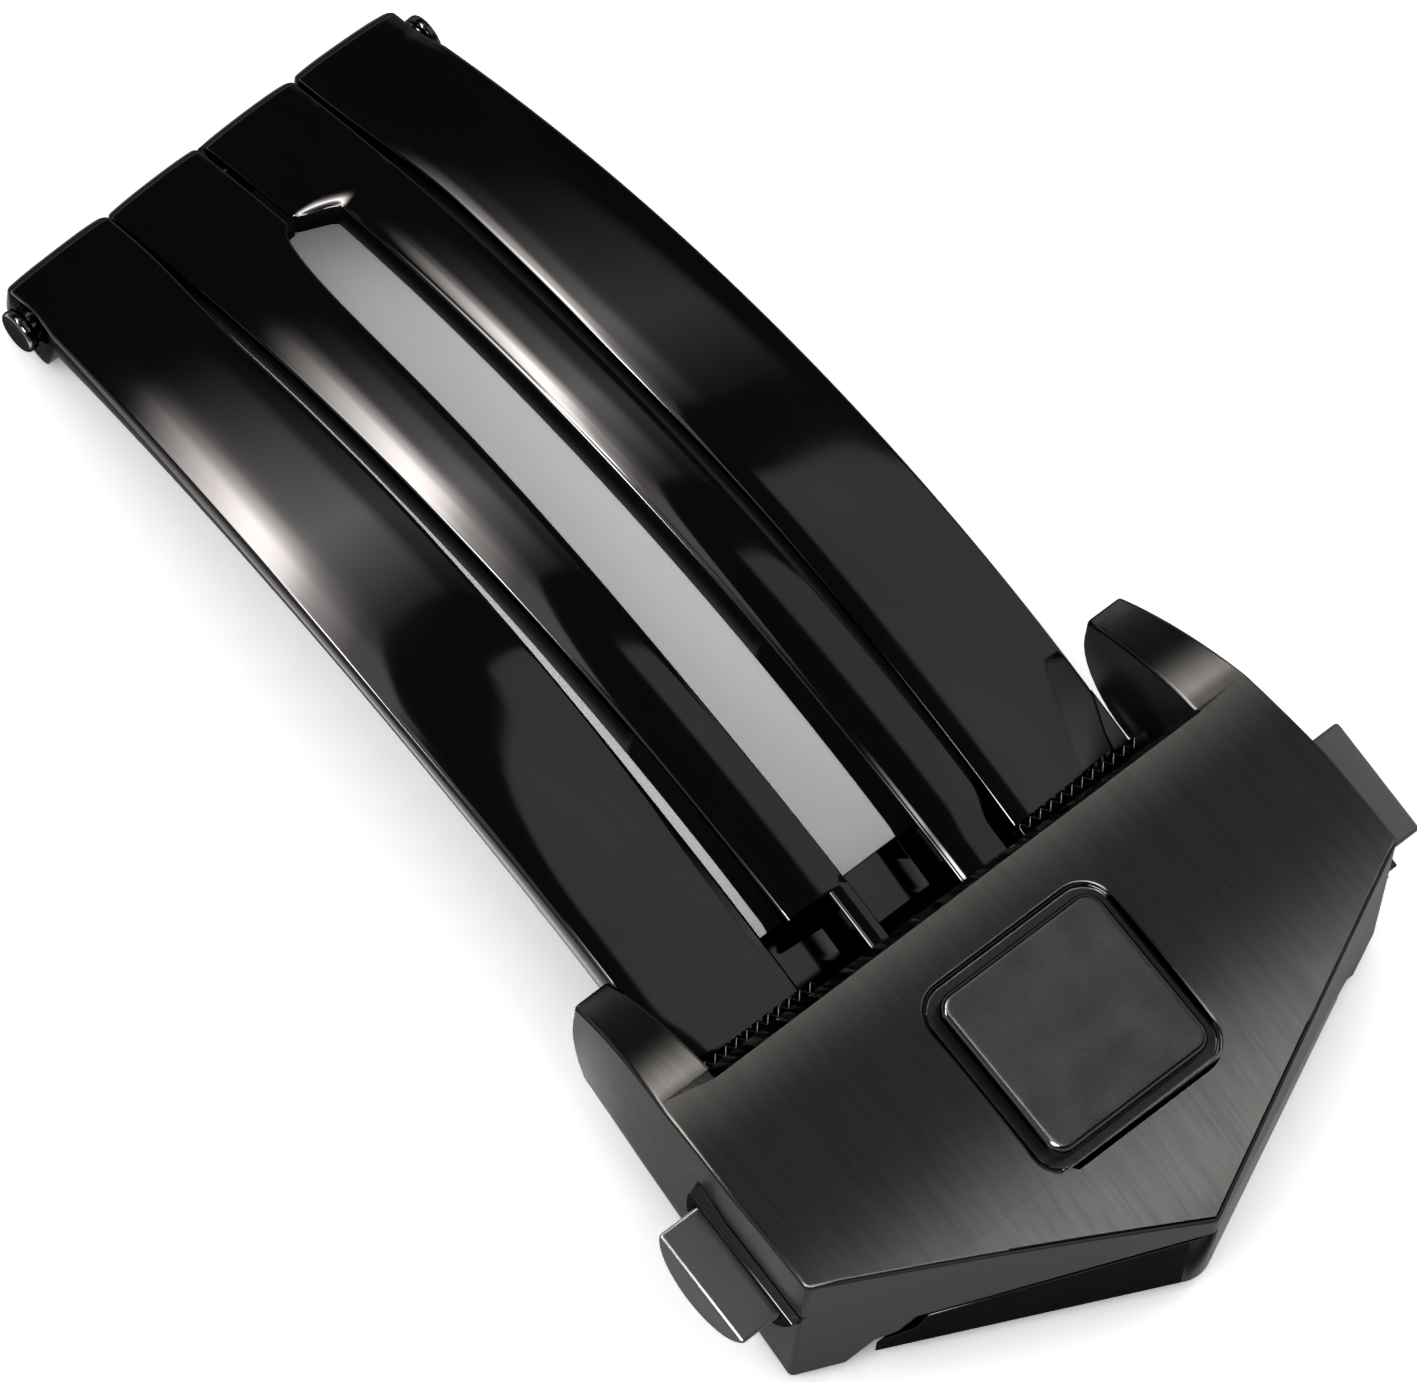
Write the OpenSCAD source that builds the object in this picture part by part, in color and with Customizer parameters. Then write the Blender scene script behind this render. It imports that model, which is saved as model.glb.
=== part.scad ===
// Deployant strap clasp, folded shut: an outer pair of rails that carries the cover folds
// down over an inner pair that carries the catch plate. Two push buttons free the catch.
// X runs from the fold hinge to the nose, Y runs across the strap and Z points off the wrist.

/* [Blades] */
// Distance from the hinge end to the ends of the outer rails
blade_len = 32.4; // [31.4:0.1:33.4]
// Radius of the top face of the outer rails
blade_r = 46.2; // [44:0.2:49]
// Thickness of the outer rails
blade_t = 1.3; // [1:0.05:1.35]
// Place of the top of the outer rails' arch, as a share of their length
arch_share = 0.5525; // [0.53:0.005:0.57]
// Width over the outer rails at the hinge
rail_hinge_w = 14.7; // [13.7:0.1:15.4]
// Width over the outer rails at their widest point
rail_max_w = 17.2; // [16.6:0.1:17.6]
// Place of the widest point of the outer rails, as a share of their length
rail_max_share = 0.8765; // [0.82:0.005:0.9]
// Width over the outer rails at their ends
rail_end_w = 16; // [15:0.1:16.5]
// Distance between the outer rails at their ends
rail_end_gap = 8.6; // [8.2:0.1:9]
// Gap between the outer rails at the top of their arch
rail_mid_gap = 7.85; // [7.75:0.05:8.2]
// Length of the tapered corner at the end of each outer rail
rail_corner = 2.2; // [1:0.1:2.6]

/* [Inner frame] */
// Width over the inner rails
inner_w = 7; // [6.4:0.1:7.2]
// Radius of the top face of the inner rails
inner_r = 48; // [46.5:0.1:50]
// Place of the top of the inner rails' arch, as a share of the outer rails' length
inner_arch_share = 0.608; // [0.59:0.004:0.62]
// Width of the long slot between the inner rails
slot_w = 2.8; // [2.2:0.1:3]
// Distance from the hinge end to the start of the slot
slot_x = 4.1; // [3.9:0.1:5.4]
// Length of the curved shoulder where the slot opens
shoulder_len = 0.9; // [0.6:0.1:1.5]
// Distance over which the slot's left edge widens to its full width
slot_taper = 6; // [4:0.5:8]
// Width of the groove that divides the inner fingers
slit_w = 0.26; // [0.2:0.02:0.4]
// Depth of that groove in the blade behind the knuckles
slit_depth = 0.4; // [0.2:0.05:0.6]
// Width of the sloping facet along each side of the slot
facet_w = 0.5; // [0.4:0.05:0.9]
// Drop of that facet at the slot's edge
facet_drop = 0.2; // [0.15:0.05:0.4]
// Distance from the rail ends back to the start of the tails
tail_step = 1.6; // [1.4:0.05:1.8]
// Length of the tails that run in under the cover
tail_len = 2.7; // [2.4:0.1:2.8]
// Width of the narrow tail on the left rail
tail_left_w = 0.85; // [0.7:0.05:1.1]
// Width of the wide tail on the right rail
tail_right_w = 1.75; // [1.4:0.05:1.8]

/* [Hinge] */
// Radius of the hinge knuckles
knuckle_r = 1.35; // [1.25:0.05:1.5]
// Radius of the hinge pin
hinge_pin_r = 0.6; // [0.5:0.05:0.7]
// Radius of the peened heads on the hinge pin
hinge_head_r = 0.7; // [0.65:0.05:0.75]
// Thickness of those heads
hinge_head_t = 0.3; // [0.2:0.05:0.4]
// Distance between those heads and the knuckles
hinge_head_gap = 0.25; // [0.25:0.05:0.4]

/* [Cover] */
// Width of the strap that the jaws take
strap_w = 18; // [17.6:0.1:18.6]
// Thickness of each jaw at its tip
jaw_t = 1.3; // [1.1:0.05:1.5]
// Thickness of each cheek beside the strap
cheek_t = 2.15; // [1.9:0.05:2.4]
// Distance that the jaws reach back over the rails
jaw_reach = 3.15; // [2.5:0.05:3.6]
// Distance from the rail ends to the front edge of the cover
front_gap = 1.45; // [1.2:0.05:1.6]
// Radius of the rounded tops of the jaws
jaw_r = 9.5; // [8:0.5:12]
// Height of the cover's crown above the rail ends
cover_rise = 4.1; // [4:0.05:4.3]
// Radius of the cover's crown along its length
crown_r = 24.5; // [22:0.5:30]
// Distance from the cover's front edge to the top of its crown
crest_back = 1.45; // [1.2:0.05:1.8]
// Thickness of the cover's top
cover_t = 0.9; // [0.7:0.05:1]
// Length of the straight sides, from the front edge to the corners
side_len = 6.6; // [6.3:0.05:7]
// Length of the nose, from the corners to its tip
nose_len = 5.3; // [5:0.1:6]
// Thickness of the skirt round the nose and of the cheeks' outer walls
skirt_t = 0.85; // [0.7:0.05:0.95]
// Depth of the skirt below the crown along the nose
skirt_h = 3.85; // [3.5:0.05:4.05]
// Depth of the skirt at the tip of the nose
skirt_tip_h = 0.95; // [0.9:0.05:1.3]
// Height of the cheeks' lowest point above the resting surface
cheek_foot = 0.25; // [0.15:0.05:0.4]

/* [Plaque] */
// Length of the plain plaque on the cover
plaque_len = 5.8; // [4.8:0.1:6]
// Width of the plaque
plaque_w = 6; // [5:0.1:6.6]
// Corner radius of the plaque
plaque_corner = 0.6; // [0.4:0.1:1.6]
// Height of the plaque above the crown
plaque_h = 0.35; // [0.2:0.05:0.5]
// Width of the recess round the plaque
recess_gap = 0.4; // [0.25:0.05:0.6]
// Depth of that recess
recess_depth = 0.3; // [0.2:0.05:0.4]
// Distance from the front edge to the plaque's centre
plaque_back = 5.2; // [5:0.05:5.5]
// Length of the studs in the block under the cover
stud_grip = 1.4; // [1:0.1:1.6]
// Radius of the plaque's two studs
stud_r = 0.5; // [0.4:0.05:0.6]
// Distance between the studs
stud_pitch = 3; // [2.4:0.1:3.4]

/* [Buttons] */
// Width of each button along the clasp
button_w = 4; // [3.8:0.05:4.1]
// Depth of each button's D section
button_d = 1.65; // [1.5:0.05:1.7]
// Distance that each button stands out of its cheek
button_out = 1.7; // [1.4:0.05:2.2]
// Travel of each button
button_travel = 0.8; // [0.7:0.05:0.9]
// Distance from the front edge to the buttons' centre
button_x = 4.15; // [4:0.05:4.3]
// Depth of the buttons' flat tops below the crown
button_drop = 2.65; // [2.5:0.05:2.75]
// Tilt of the buttons' flat tops
button_tilt = 13.5; // [11:0.5:15]
// Wall of the bush round each button
bush_wall = 0.35; // [0.25:0.05:0.45]
// Distance that each bush stands out of its cheek
bush_out = 0.3; // [0.2:0.05:0.5]

/* [Latch] */
// Engagement of each hook under its catch post's head
hook_bite = 0.35; // [0.25:0.05:0.45]
// Thickness of the latch slides
slide_t = 0.75; // [0.6:0.05:0.8]
// Width of the latch slides' bars
slide_w = 1.3; // [1.1:0.05:1.4]
// Width of the catch posts along the clasp
post_w = 1.4; // [1.1:0.05:1.5]
// Thickness of the catch posts' stems
post_t = 0.7; // [0.6:0.05:0.8]
// Thickness of the catch posts' heads
post_head_t = 0.7; // [0.5:0.05:0.9]
// Length of the block that backs the springs
block_len = 4.2; // [3.6:0.1:4.4]
// Outer radius of the latch springs
spring_r = 0.72; // [0.66:0.02:0.8]
// Radius of the spring wire
wire_r = 0.11; // [0.09:0.01:0.12]
// Number of turns in each latch spring
spring_turns = 5; // [4:1:6]
// Length of each latch spring at rest
spring_len = 3.6; // [3.2:0.1:3.8]

/* [Strap clamp] */
// Distance from the rail ends to the clamp flap's pin
flap_pin_x = 2.9; // [2.8:0.05:3]
// Thickness of the clamp flap
flap_t = 0.6; // [0.5:0.05:0.7]
// Radius of the clamp flap's knuckle
flap_knuckle_r = 0.65; // [0.6:0.05:0.7]
// Radius of the clamp flap's pin
flap_pin_r = 0.35; // [0.3:0.05:0.4]
// Pitch of the flap's teeth
tooth_pitch = 0.4; // [0.3:0.05:0.6]
// Depth of the flap's teeth
tooth_depth = 0.25; // [0.15:0.05:0.35]

/* [Catch plate] */
// Distance from the rail ends to the flat part of the catch plate
flat_back = 2; // [1.8:0.1:2.4]
// Thickness of the catch plate
plate_t = 1.1; // [0.9:0.05:1.2]
// Distance that the catch plate shows in front of the rail ends
plate_reach = 2.35; // [2:0.05:3]
// Width of the lip under the nose
lip_w = 1.8; // [1.4:0.1:2.2]
// Height of the lip's underside above the resting surface
lip_low = 0.6; // [0.5:0.05:0.7]
// Inset of the lip from the cover's outline
lip_inset = 0.1; // [0.05:0.05:0.25]
// Radius of the lip's rounded tip
lip_r = 1.1; // [0.9:0.1:1.5]
// Radius of the holes for the strap's spring bar
bar_hole_r = 0.5; // [0.4:0.05:0.6]
// Height of those holes above the resting surface
bar_z = 1.7; // [1.6:0.05:1.75]
// Radius of the rivets that hold the tails to the catch plate
rivet_r = 0.3; // [0.25:0.05:0.35]
// Length of those rivets in the tails
rivet_grip = 1.3; // [1:0.1:1.4]
// Radius of the dowels that hold the cover to the outer frame
dowel_r = 0.4; // [0.3:0.05:0.45]

/* [Clearances] */
// Side clearance between moving pieces
side_gap = 0.12; // [0.1:0.01:0.16]
// Radial running clearance on pins and in bushes
run_gap = 0.04; // [0.02:0.01:0.08]
// Radial clearance of pieces that are pressed or riveted in place
seat_gap = 0.01; // [0:0.005:0.02]
// Clearance between the strap and each jaw
strap_gap = 0.1; // [0.05:0.05:0.2]
// Clearance between the folded blades and the catch plate
fold_gap = 0.12; // [0.1:0.01:0.2]

/* [Hidden] */

big = 60;
$fn = 96;
arc_fn = 360;
black = [0.06, 0.06, 0.065];
satin_black = [0.11, 0.11, 0.12];
steel = [0.5, 0.5, 0.52];

// Arches of the two blades, which both pass over the top of the hinge knuckles
hinge_x = knuckle_r;
hinge_z = knuckle_r;
arch_x = blade_len * arch_share;
rail_max_x = blade_len * rail_max_share;
inner_arch_x = blade_len * inner_arch_share;
blade_cz = 2 * knuckle_r - sqrt(pow(blade_r, 2) - pow(arch_x - hinge_x, 2));
inner_cz = 2 * knuckle_r - sqrt(pow(inner_r, 2) - pow(inner_arch_x - hinge_x, 2));
function blade_z(x, drop = 0) = blade_cz + sqrt(pow(blade_r - drop, 2) - pow(x - arch_x, 2));
function inner_z(x) = inner_cz + sqrt(pow(inner_r, 2) - pow(x - inner_arch_x, 2));

// Stations along the clasp
jaw_x = blade_len - jaw_reach;
cover_x = blade_len + front_gap;
corner_x = cover_x + side_len;
tip_x = corner_x + nose_len;
mid_x = tip_x / 2;
crown_x = cover_x + crest_back;
crown_z = blade_z(blade_len) + cover_rise;
crown_cz = crown_z - crown_r;
function cover_z(x, drop = 0) = crown_cz + sqrt(pow(crown_r - drop, 2) - pow(x - crown_x, 2));

// The jaws' tops leave the crown smoothly just behind the front edge
turn_x = cover_x + 0.45;
jaw_cx = turn_x + (crown_x - turn_x) * jaw_r / crown_r;
jaw_cz = cover_z(turn_x) + (crown_cz - cover_z(turn_x)) * jaw_r / crown_r;
function top_z(x) = x > turn_x ? cover_z(x) : jaw_cz + sqrt(pow(jaw_r, 2) - pow(x - jaw_cx, 2));

// Half widths across the clasp
mouth_y = strap_w / 2 + strap_gap;
jaw_y = mouth_y + jaw_t;
side_y = mouth_y + cheek_t;
wall_y = side_y - skirt_t;
finger_y = inner_w / 2 + side_gap;
tail_in = slot_w / 2 - 0.2;

module in_place() translate([-mid_x, 0, 0]) children();
module along_y(half) rotate([90, 0, 0]) linear_extrude(height = 2 * half, center = true) children();
module from_y(low, high) translate([0, high, 0]) rotate([90, 0, 0])
    linear_extrude(height = high - low) children();
module plan(low = -big, high = big) translate([0, 0, low]) linear_extrude(height = high - low) children();
module both() {
    children();
    mirror([0, 1, 0]) children();
}

// Hinge
module knuckle(low, high) translate([hinge_x, 0, hinge_z]) from_y(low, high) circle(r = knuckle_r);
module hinge_bore(r) translate([hinge_x, 0, hinge_z]) along_y(big) circle(r = r);

module hinge_pin() color(steel) in_place() translate([hinge_x, 0, hinge_z]) {
    head_y = rail_hinge_w / 2 + hinge_head_gap;
    along_y(head_y + 0.05) circle(r = hinge_pin_r);
    both() from_y(head_y, head_y + hinge_head_t) circle(r = hinge_head_r);
}

// Inner rails, from the knuckles to the tails under the cover
module slot_outline() {
    neck = slit_w / 2 + side_gap / 3;
    right = [for (i = [0:8]) let (t = i / 8) [slot_x + shoulder_len * t,
        neck + (slot_w / 2 - neck) * (1 - cos(180 * t)) / 2]];
    left = [for (i = [0:8]) let (t = i / 8) [slot_x + shoulder_len / 3 + slot_taper * t * t,
        -neck - (slot_w / 2 - neck) * sin(90 * t)]];
    polygon(concat(right, [[blade_len + big, slot_w / 2], [blade_len + big, -slot_w / 2]],
        [for (i = [8:-1:0]) left[i]]));
}

module inner_outline() {
    step_x = blade_len - tail_step;
    end_x = step_x + tail_len;
    left_tail = tail_in + tail_left_w;
    right_tail = tail_in + tail_right_w + 0.2;
    bend = 1.3;
    right_edge = [for (i = [0:6]) let (t = i / 6) [step_x + bend * t,
        inner_w / 2 - (inner_w / 2 - right_tail) * (1 - cos(180 * t)) / 2]];
    polygon(concat([[hinge_x, -inner_w / 2], [step_x, -inner_w / 2], [step_x, -left_tail],
        [end_x, -left_tail], [end_x, right_tail]], [for (i = [6:-1:0]) right_edge[i]],
        [[hinge_x, inner_w / 2]]));
}

module slot_facets() intersection() {
    slope = facet_drop / facet_w;
    translate([inner_arch_x, 0, inner_cz]) rotate([90, 0, 0]) rotate_extrude($fn = arc_fn)
        polygon([for (p = [[-1, 0.2], [0, -facet_w], [1, -facet_w - 1 / slope]]) [inner_r + facet_rise(p[0]),
            -slot_w / 2 + p[1]], for (p = [[1, -facet_w - 1 / slope], [0, -facet_w], [-1, 0.2]])
            [inner_r + facet_rise(p[0]), slot_w / 2 - p[1]]]);
    plan() {
        translate([slot_x + shoulder_len + facet_w / 2, 0]) square([big, inner_w]);
        translate([slot_x + shoulder_len + slot_taper + facet_w / 2, -inner_w]) square([big, inner_w + 1]);
    }
}
function facet_rise(step) = step < 0 ? -facet_drop * (1 + 0.2 / facet_w) : step;

module inner_frame() color(black) in_place() difference() {
    union() {
        intersection() {
            along_y(inner_w) difference() {
                translate([inner_arch_x, inner_cz]) circle(r = inner_r, $fn = arc_fn);
                translate([arch_x, blade_cz]) circle(r = blade_r - blade_t, $fn = arc_fn);
            }
            plan(0) inner_outline();
        }
        intersection() {
            both() knuckle(slit_w / 2, inner_w / 2);
            along_y(inner_w) translate([inner_arch_x, inner_cz]) circle(r = inner_r, $fn = arc_fn);
        }
        intersection() {
            blade_band(blade_t, blade_t + fold_gap);
            plan(0) intersection() {
                inner_outline();
                translate([blade_len - plate_reach, -inner_w]) square([big, 2 * inner_w]);
            }
        }
    }
    plan(-1) slot_outline();
    slot_facets();
    intersection() {
        along_y(slit_w / 2) difference() {
            square([2 * slot_x, big]);
            translate([inner_arch_x, inner_cz]) circle(r = inner_r - slit_depth, $fn = arc_fn);
        }
        plan(0) translate([0, -slit_w / 2]) square([slot_x + shoulder_len, slit_w]);
    }
    translate([-1, -slit_w / 2, -1]) cube([2 * knuckle_r + 1, slit_w, big]);
    hinge_bore(hinge_pin_r + seat_gap);
    rivet_holes();
}

// Outer rails with the bed that joins them under the cover
flare_r = (pow(rail_max_x, 2) + pow((rail_max_w - rail_hinge_w) / 2, 2)) / (rail_max_w - rail_hinge_w);
bed_end = blade_len + flap_pin_x - flap_knuckle_r - side_gap;
notch_end = blade_len - tail_step + tail_len + 0.3;
notch_y = inner_w / 2 + 0.4;

module rail_outline() intersection() {
    translate([rail_max_x, rail_max_w / 2 - flare_r]) circle(r = flare_r, $fn = 2 * arc_fn);
    polygon([[hinge_x * 0.4, finger_y], [arch_x, rail_mid_gap / 2], [blade_len, rail_end_gap / 2],
        [blade_len, rail_end_w / 2], [blade_len - rail_corner * 0.4, rail_end_w / 2 + 0.18],
        [blade_len - rail_corner, rail_max_w / 2 + 0.1], [hinge_x * 0.4, rail_max_w / 2 + 0.1]]);
}

module blade_band(top, bottom) along_y(big / 2) translate([arch_x, blade_cz]) difference() {
    circle(r = blade_r - top, $fn = arc_fn);
    circle(r = blade_r - bottom, $fn = arc_fn);
}

module outer_frame() color(black) in_place() difference() {
    union() {
        intersection() {
            blade_band(0, blade_t);
            plan(0) union() {
                both_flat() rail_outline();
                difference() {
                    translate([blade_len, -mouth_y]) square([bed_end - blade_len, 2 * mouth_y]);
                    translate([blade_len - 1, -notch_y]) square([notch_end - blade_len + 1, 2 * notch_y]);
                }
            }
        }
        intersection() {
            both() knuckle(finger_y, rail_hinge_w / 2);
            along_y(rail_max_w) translate([arch_x, blade_cz]) circle(r = blade_r - run_gap, $fn = arc_fn);
        }
    }
    hinge_bore(hinge_pin_r + run_gap);
    dowel_holes();
}

module both_flat() {
    children();
    mirror([0, 1]) children();
}

// Dowels between the bed and the cheeks
dowel_x = (blade_len + bed_end) / 2;
dowel_z = blade_z(dowel_x) - blade_t / 2;
dowel_in = 1.6;
dowel_out = 0.8;
module dowel(r) both() translate([dowel_x, 0, dowel_z])
    from_y(mouth_y - dowel_in, mouth_y + dowel_out) circle(r = r, $fn = 48);
module dowel_holes() dowel(dowel_r + seat_gap);
module cover_dowels() color(steel) in_place() dowel(dowel_r);

// Cover with its jaws, cheeks and skirt
module cover_outline(inset = 0) polygon([
    [jaw_x, -jaw_y + inset], [cover_x, -side_y + 0.2 + inset], [cover_x + side_len / 2, -side_y + inset],
    [corner_x - inset * nose_turn, -side_y + inset], [tip_x - inset * nose_pull, 0],
    [corner_x - inset * nose_turn, side_y - inset], [cover_x + side_len / 2, side_y - inset],
    [cover_x, side_y - 0.2 - inset], [jaw_x, jaw_y - inset]]);
nose_pull = sqrt(pow(nose_len, 2) + pow(side_y, 2)) / side_y;
nose_turn = nose_pull - nose_len / side_y;

// Profile of the cover's top, from the tips of the jaws to past the nose
front_z = top_z(cover_x);
top_steps = 46;
function top_station(i) = jaw_x + (tip_x + 0.2 - jaw_x) * i / top_steps;
function top_points() = [for (i = [top_steps:-1:0]) [top_station(i), top_z(top_station(i))]];
jaw_foot = plate_t + 0.6;

// Lower edge of the skirt, which steps up from the cheeks to the nose
skirt_x = corner_x + 1.45;
skirt_z = cover_z(skirt_x) - skirt_h;
skirt_edge = [[skirt_x - 0.64, skirt_z - 1.3], [skirt_x - 0.12, skirt_z - 0.75], [skirt_x, skirt_z],
    [skirt_x + 1.05, cover_z(skirt_x + 1.05) - skirt_h + 0.7], [tip_x + 0.2, cover_z(tip_x) - skirt_tip_h]];

module side_profile() {
    jaw_round = 3;
    jaw_curve = [for (i = [0:10]) let (a = 90 * i / 10) [jaw_x + jaw_round * 0.9 * (1 - cos(a)),
        jaw_foot + jaw_round * (1 - sin(a))]];
    bow = [for (i = [0:8]) let (t = i / 8) [cover_x + 0.7 + 2.9 * t,
        jaw_foot - 0.3 - (jaw_foot - 0.3 - cheek_foot) * (1 - cos(180 * t)) / 2]];
    polygon(concat(jaw_curve, bow, [[corner_x - 0.2, cheek_foot], [skirt_x - 0.75, cheek_foot + 0.2]],
        skirt_edge, top_points()));
}

// Everything under the cover's top, with the mouth open in front of it
module hollow_profile() {
    under = [for (i = [0:10]) let (x = cover_x + 1.6 + (tip_x - cover_x) * i / 10) [x, cover_z(x, cover_t)]];
    polygon(concat([[0, -big], [0, big], [cover_x, big], [cover_x, front_z - cover_t * 0.4],
        [cover_x + 0.35, front_z - cover_t * 0.85]], under, [[tip_x + big, -big]]));
}

module hollow_outline() {
    translate([0, -mouth_y]) square([bed_end + 0.4, 2 * mouth_y]);
    intersection() {
        cover_outline(skirt_t);
        translate([bed_end + 0.3, -side_y]) square([big, 2 * side_y]);
    }
}

// Draft on the outer faces of the cheeks, which fades out towards the corners
module cheek_draft() both() translate([cover_x, side_y - 0.5, jaw_foot]) rotate([-14, 0, 6.8])
    translate([-big / 2, 0, -big / 2]) cube([big, big, big]);

module cover() color(satin_black) in_place() difference() {
    intersection() {
        along_y(side_y) side_profile();
        plan() cover_outline();
    }
    intersection() {
        along_y(side_y) hollow_profile();
        plan() hollow_outline();
    }
    cheek_draft();
    plaque_recess();
    both() button_section(bush_wall + run_gap + seat_gap, mouth_y, big);
    dowel_holes();
    clamp_pin_body(flap_pin_r + seat_gap, seat_gap);
    studs(stud_r + seat_gap, -big);
}

// Plain plaque, seated in a shallow recess and held by two studs
plaque_x = cover_x + plaque_back;
plaque_tilt = asin((plaque_x - crown_x) / crown_r);
plaque_seat = cover_z(plaque_x);
module on_crown() translate([plaque_x, 0, plaque_seat]) rotate([0, plaque_tilt, 0]) children();
module rounded_plate(length, width, corner, low, high) translate([0, 0, low])
    linear_extrude(height = high - low) {
    square([length - 2 * corner, width], center = true);
    square([length, width - 2 * corner], center = true);
    for (x = [-1, 1], y = [-1, 1]) translate([x * (length / 2 - corner), y * (width / 2 - corner)])
        circle(r = corner);
}
module plaque_recess() on_crown() rounded_plate(plaque_len + 2 * recess_gap, plaque_w + 2 * recess_gap,
    plaque_corner + recess_gap, -recess_depth, 2);
module studs(r, low) on_crown() both() translate([0, stud_pitch / 2, low])
    cylinder(r = r, h = -low - recess_depth + 0.01);
stud_len = cover_t - recess_depth + stud_grip;
module plaque() color(black) in_place() {
    on_crown() rounded_plate(plaque_len, plaque_w, plaque_corner, -recess_depth, plaque_h);
    studs(stud_r, -recess_depth - stud_len);
}

// Block under the plaque that backs the latch springs
button_cx = cover_x + button_x;
button_z = crown_z - button_drop;
spring_x = button_cx + 0.35 + slide_w / 2 + side_gap;
slide_z = button_z - button_d + 0.35;
spring_z = slide_z + slide_t / 2;
hook_rest = mouth_y - slide_t;
slide_in = hook_rest - 1.15;
block_y = slide_in - spring_len;
block_low = slide_z - 0.2;

module latch_block() color(steel) in_place() difference() {
    intersection() {
        along_y(block_y) translate([crown_x, crown_cz]) circle(r = crown_r - cover_t - seat_gap, $fn = arc_fn);
        translate([plaque_x - block_len / 2, -block_y, block_low]) cube([block_len, 2 * block_y, big]);
    }
    studs(stud_r + seat_gap, -big);
}

// D section of the buttons, with a flat top and a round underside
button_r = (pow(button_w / 2, 2) + pow(button_d, 2)) / (2 * button_d);
module button_section(grow, low, high) translate([button_cx, 0, button_z]) rotate([0, button_tilt, 0])
    from_y(low, high) intersection() {
        translate([0, button_r - button_d]) circle(r = button_r + grow);
        translate([-big / 2, grow - big]) square([big, big]);
    }

button_root = wall_y - 0.05;
module bush() difference() {
    button_section(bush_wall + run_gap, wall_y + 0.02, side_y + bush_out);
    button_section(run_gap, wall_y - 1, side_y + 1);
}
module button_bush_left() color(black) in_place() mirror([0, 1, 0]) bush();
module button_bush_right() color(black) in_place() bush();

flange_t = 0.25;
module button() difference() {
    union() {
        button_section(0, button_root - flange_t, side_y + button_out);
        button_section(bush_wall * 0.8, button_root - flange_t, button_root);
    }
    translate([spring_x, button_root - flange_t - 0.01, spring_z]) rotate([-90, 0, 0])
        cylinder(r = stub_r + seat_gap, h = stub_len + 0.01, $fn = 48);
}
module button_left() color(satin_black) in_place() mirror([0, 1, 0]) button();
module button_right() color(satin_black) in_place() button();

// Latch slide with a hook that the catch post's head holds down
stub_r = 0.3;
stub_len = 0.8;
peg_r = spring_r - 2 * wire_r - 0.08;
peg_len = 1;
post_x = spring_x - slide_w / 2 - 0.4 - post_w;
post_in = hook_rest + 0.15;
module slide() {
    end_y = button_root - flange_t;
    translate([spring_x - slide_w / 2, slide_in, slide_z]) cube([slide_w, end_y - slide_in, slide_t]);
    translate([post_x - 0.1, slide_in, slide_z])
        cube([spring_x - slide_w / 2 - post_x + 0.2, hook_rest - slide_in, slide_t]);
    translate([spring_x, end_y - 0.01, spring_z]) rotate([-90, 0, 0]) cylinder(r = stub_r, h = stub_len, $fn = 48);
    translate([spring_x, slide_in + 0.01, spring_z]) rotate([90, 0, 0]) cylinder(r = peg_r, h = peg_len, $fn = 48);
}
module latch_slide_left() color(steel) in_place() mirror([0, 1, 0]) slide();
module latch_slide_right() color(steel) in_place() slide();

// Catch posts, riveted into the catch plate
post_top = slide_z + slide_t + side_gap;
module post() {
    translate([post_x, post_in, plate_t]) cube([post_w, post_t, post_top - plate_t + post_head_t]);
    translate([post_x, 0, 0]) rotate([0, 90, 0]) linear_extrude(height = post_w)
        polygon([[-post_top, post_in + 0.01], [-post_top, hook_rest - hook_bite],
            [-post_top - post_head_t * 0.35, hook_rest - hook_bite],
            [-post_top - post_head_t, post_in + 0.01]]);
    translate([post_x + post_w / 2, post_in + post_t / 2, 0.2]) cylinder(r = rivet_r, h = plate_t, $fn = 48);
}
module catch_post_left() color(steel) in_place() mirror([0, 1, 0]) post();
module catch_post_right() color(steel) in_place() post();

// Latch springs, each one unbroken coil between the block and its slide
function coil_point(t) = [spring_x + (spring_r - wire_r) * cos(360 * spring_turns * t),
    block_y + wire_r + (spring_len - 2 * wire_r) * t,
    spring_z + (spring_r - wire_r) * sin(360 * spring_turns * t)];
module coil() {
    steps = spring_turns * 16;
    sides = 6;
    ring = [for (i = [0:steps]) let (t = i / steps, a = 360 * spring_turns * t, p = coil_point(t),
        out = [cos(a), 0, sin(a)], side = [0, 1, 0])
        for (j = [0:sides - 1]) p + wire_r * (cos(360 * j / sides) * out + sin(360 * j / sides) * side)];
    walls = [for (i = [0:steps - 1]) for (j = [0:sides - 1])
        let (a = i * sides + j, b = i * sides + (j + 1) % sides)
        for (f = [[a, b, a + sides], [b, b + sides, a + sides]]) f];
    cap_a = [for (j = [1:sides - 2]) [0, j + 1, j]];
    cap_b = [for (j = [1:sides - 2]) [steps * sides, steps * sides + j, steps * sides + j + 1]];
    polyhedron(points = ring, faces = concat(walls, cap_a, cap_b));
}
module latch_spring_left() color(steel) in_place() mirror([0, 1, 0]) coil();
module latch_spring_right() color(steel) in_place() coil();

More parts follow.
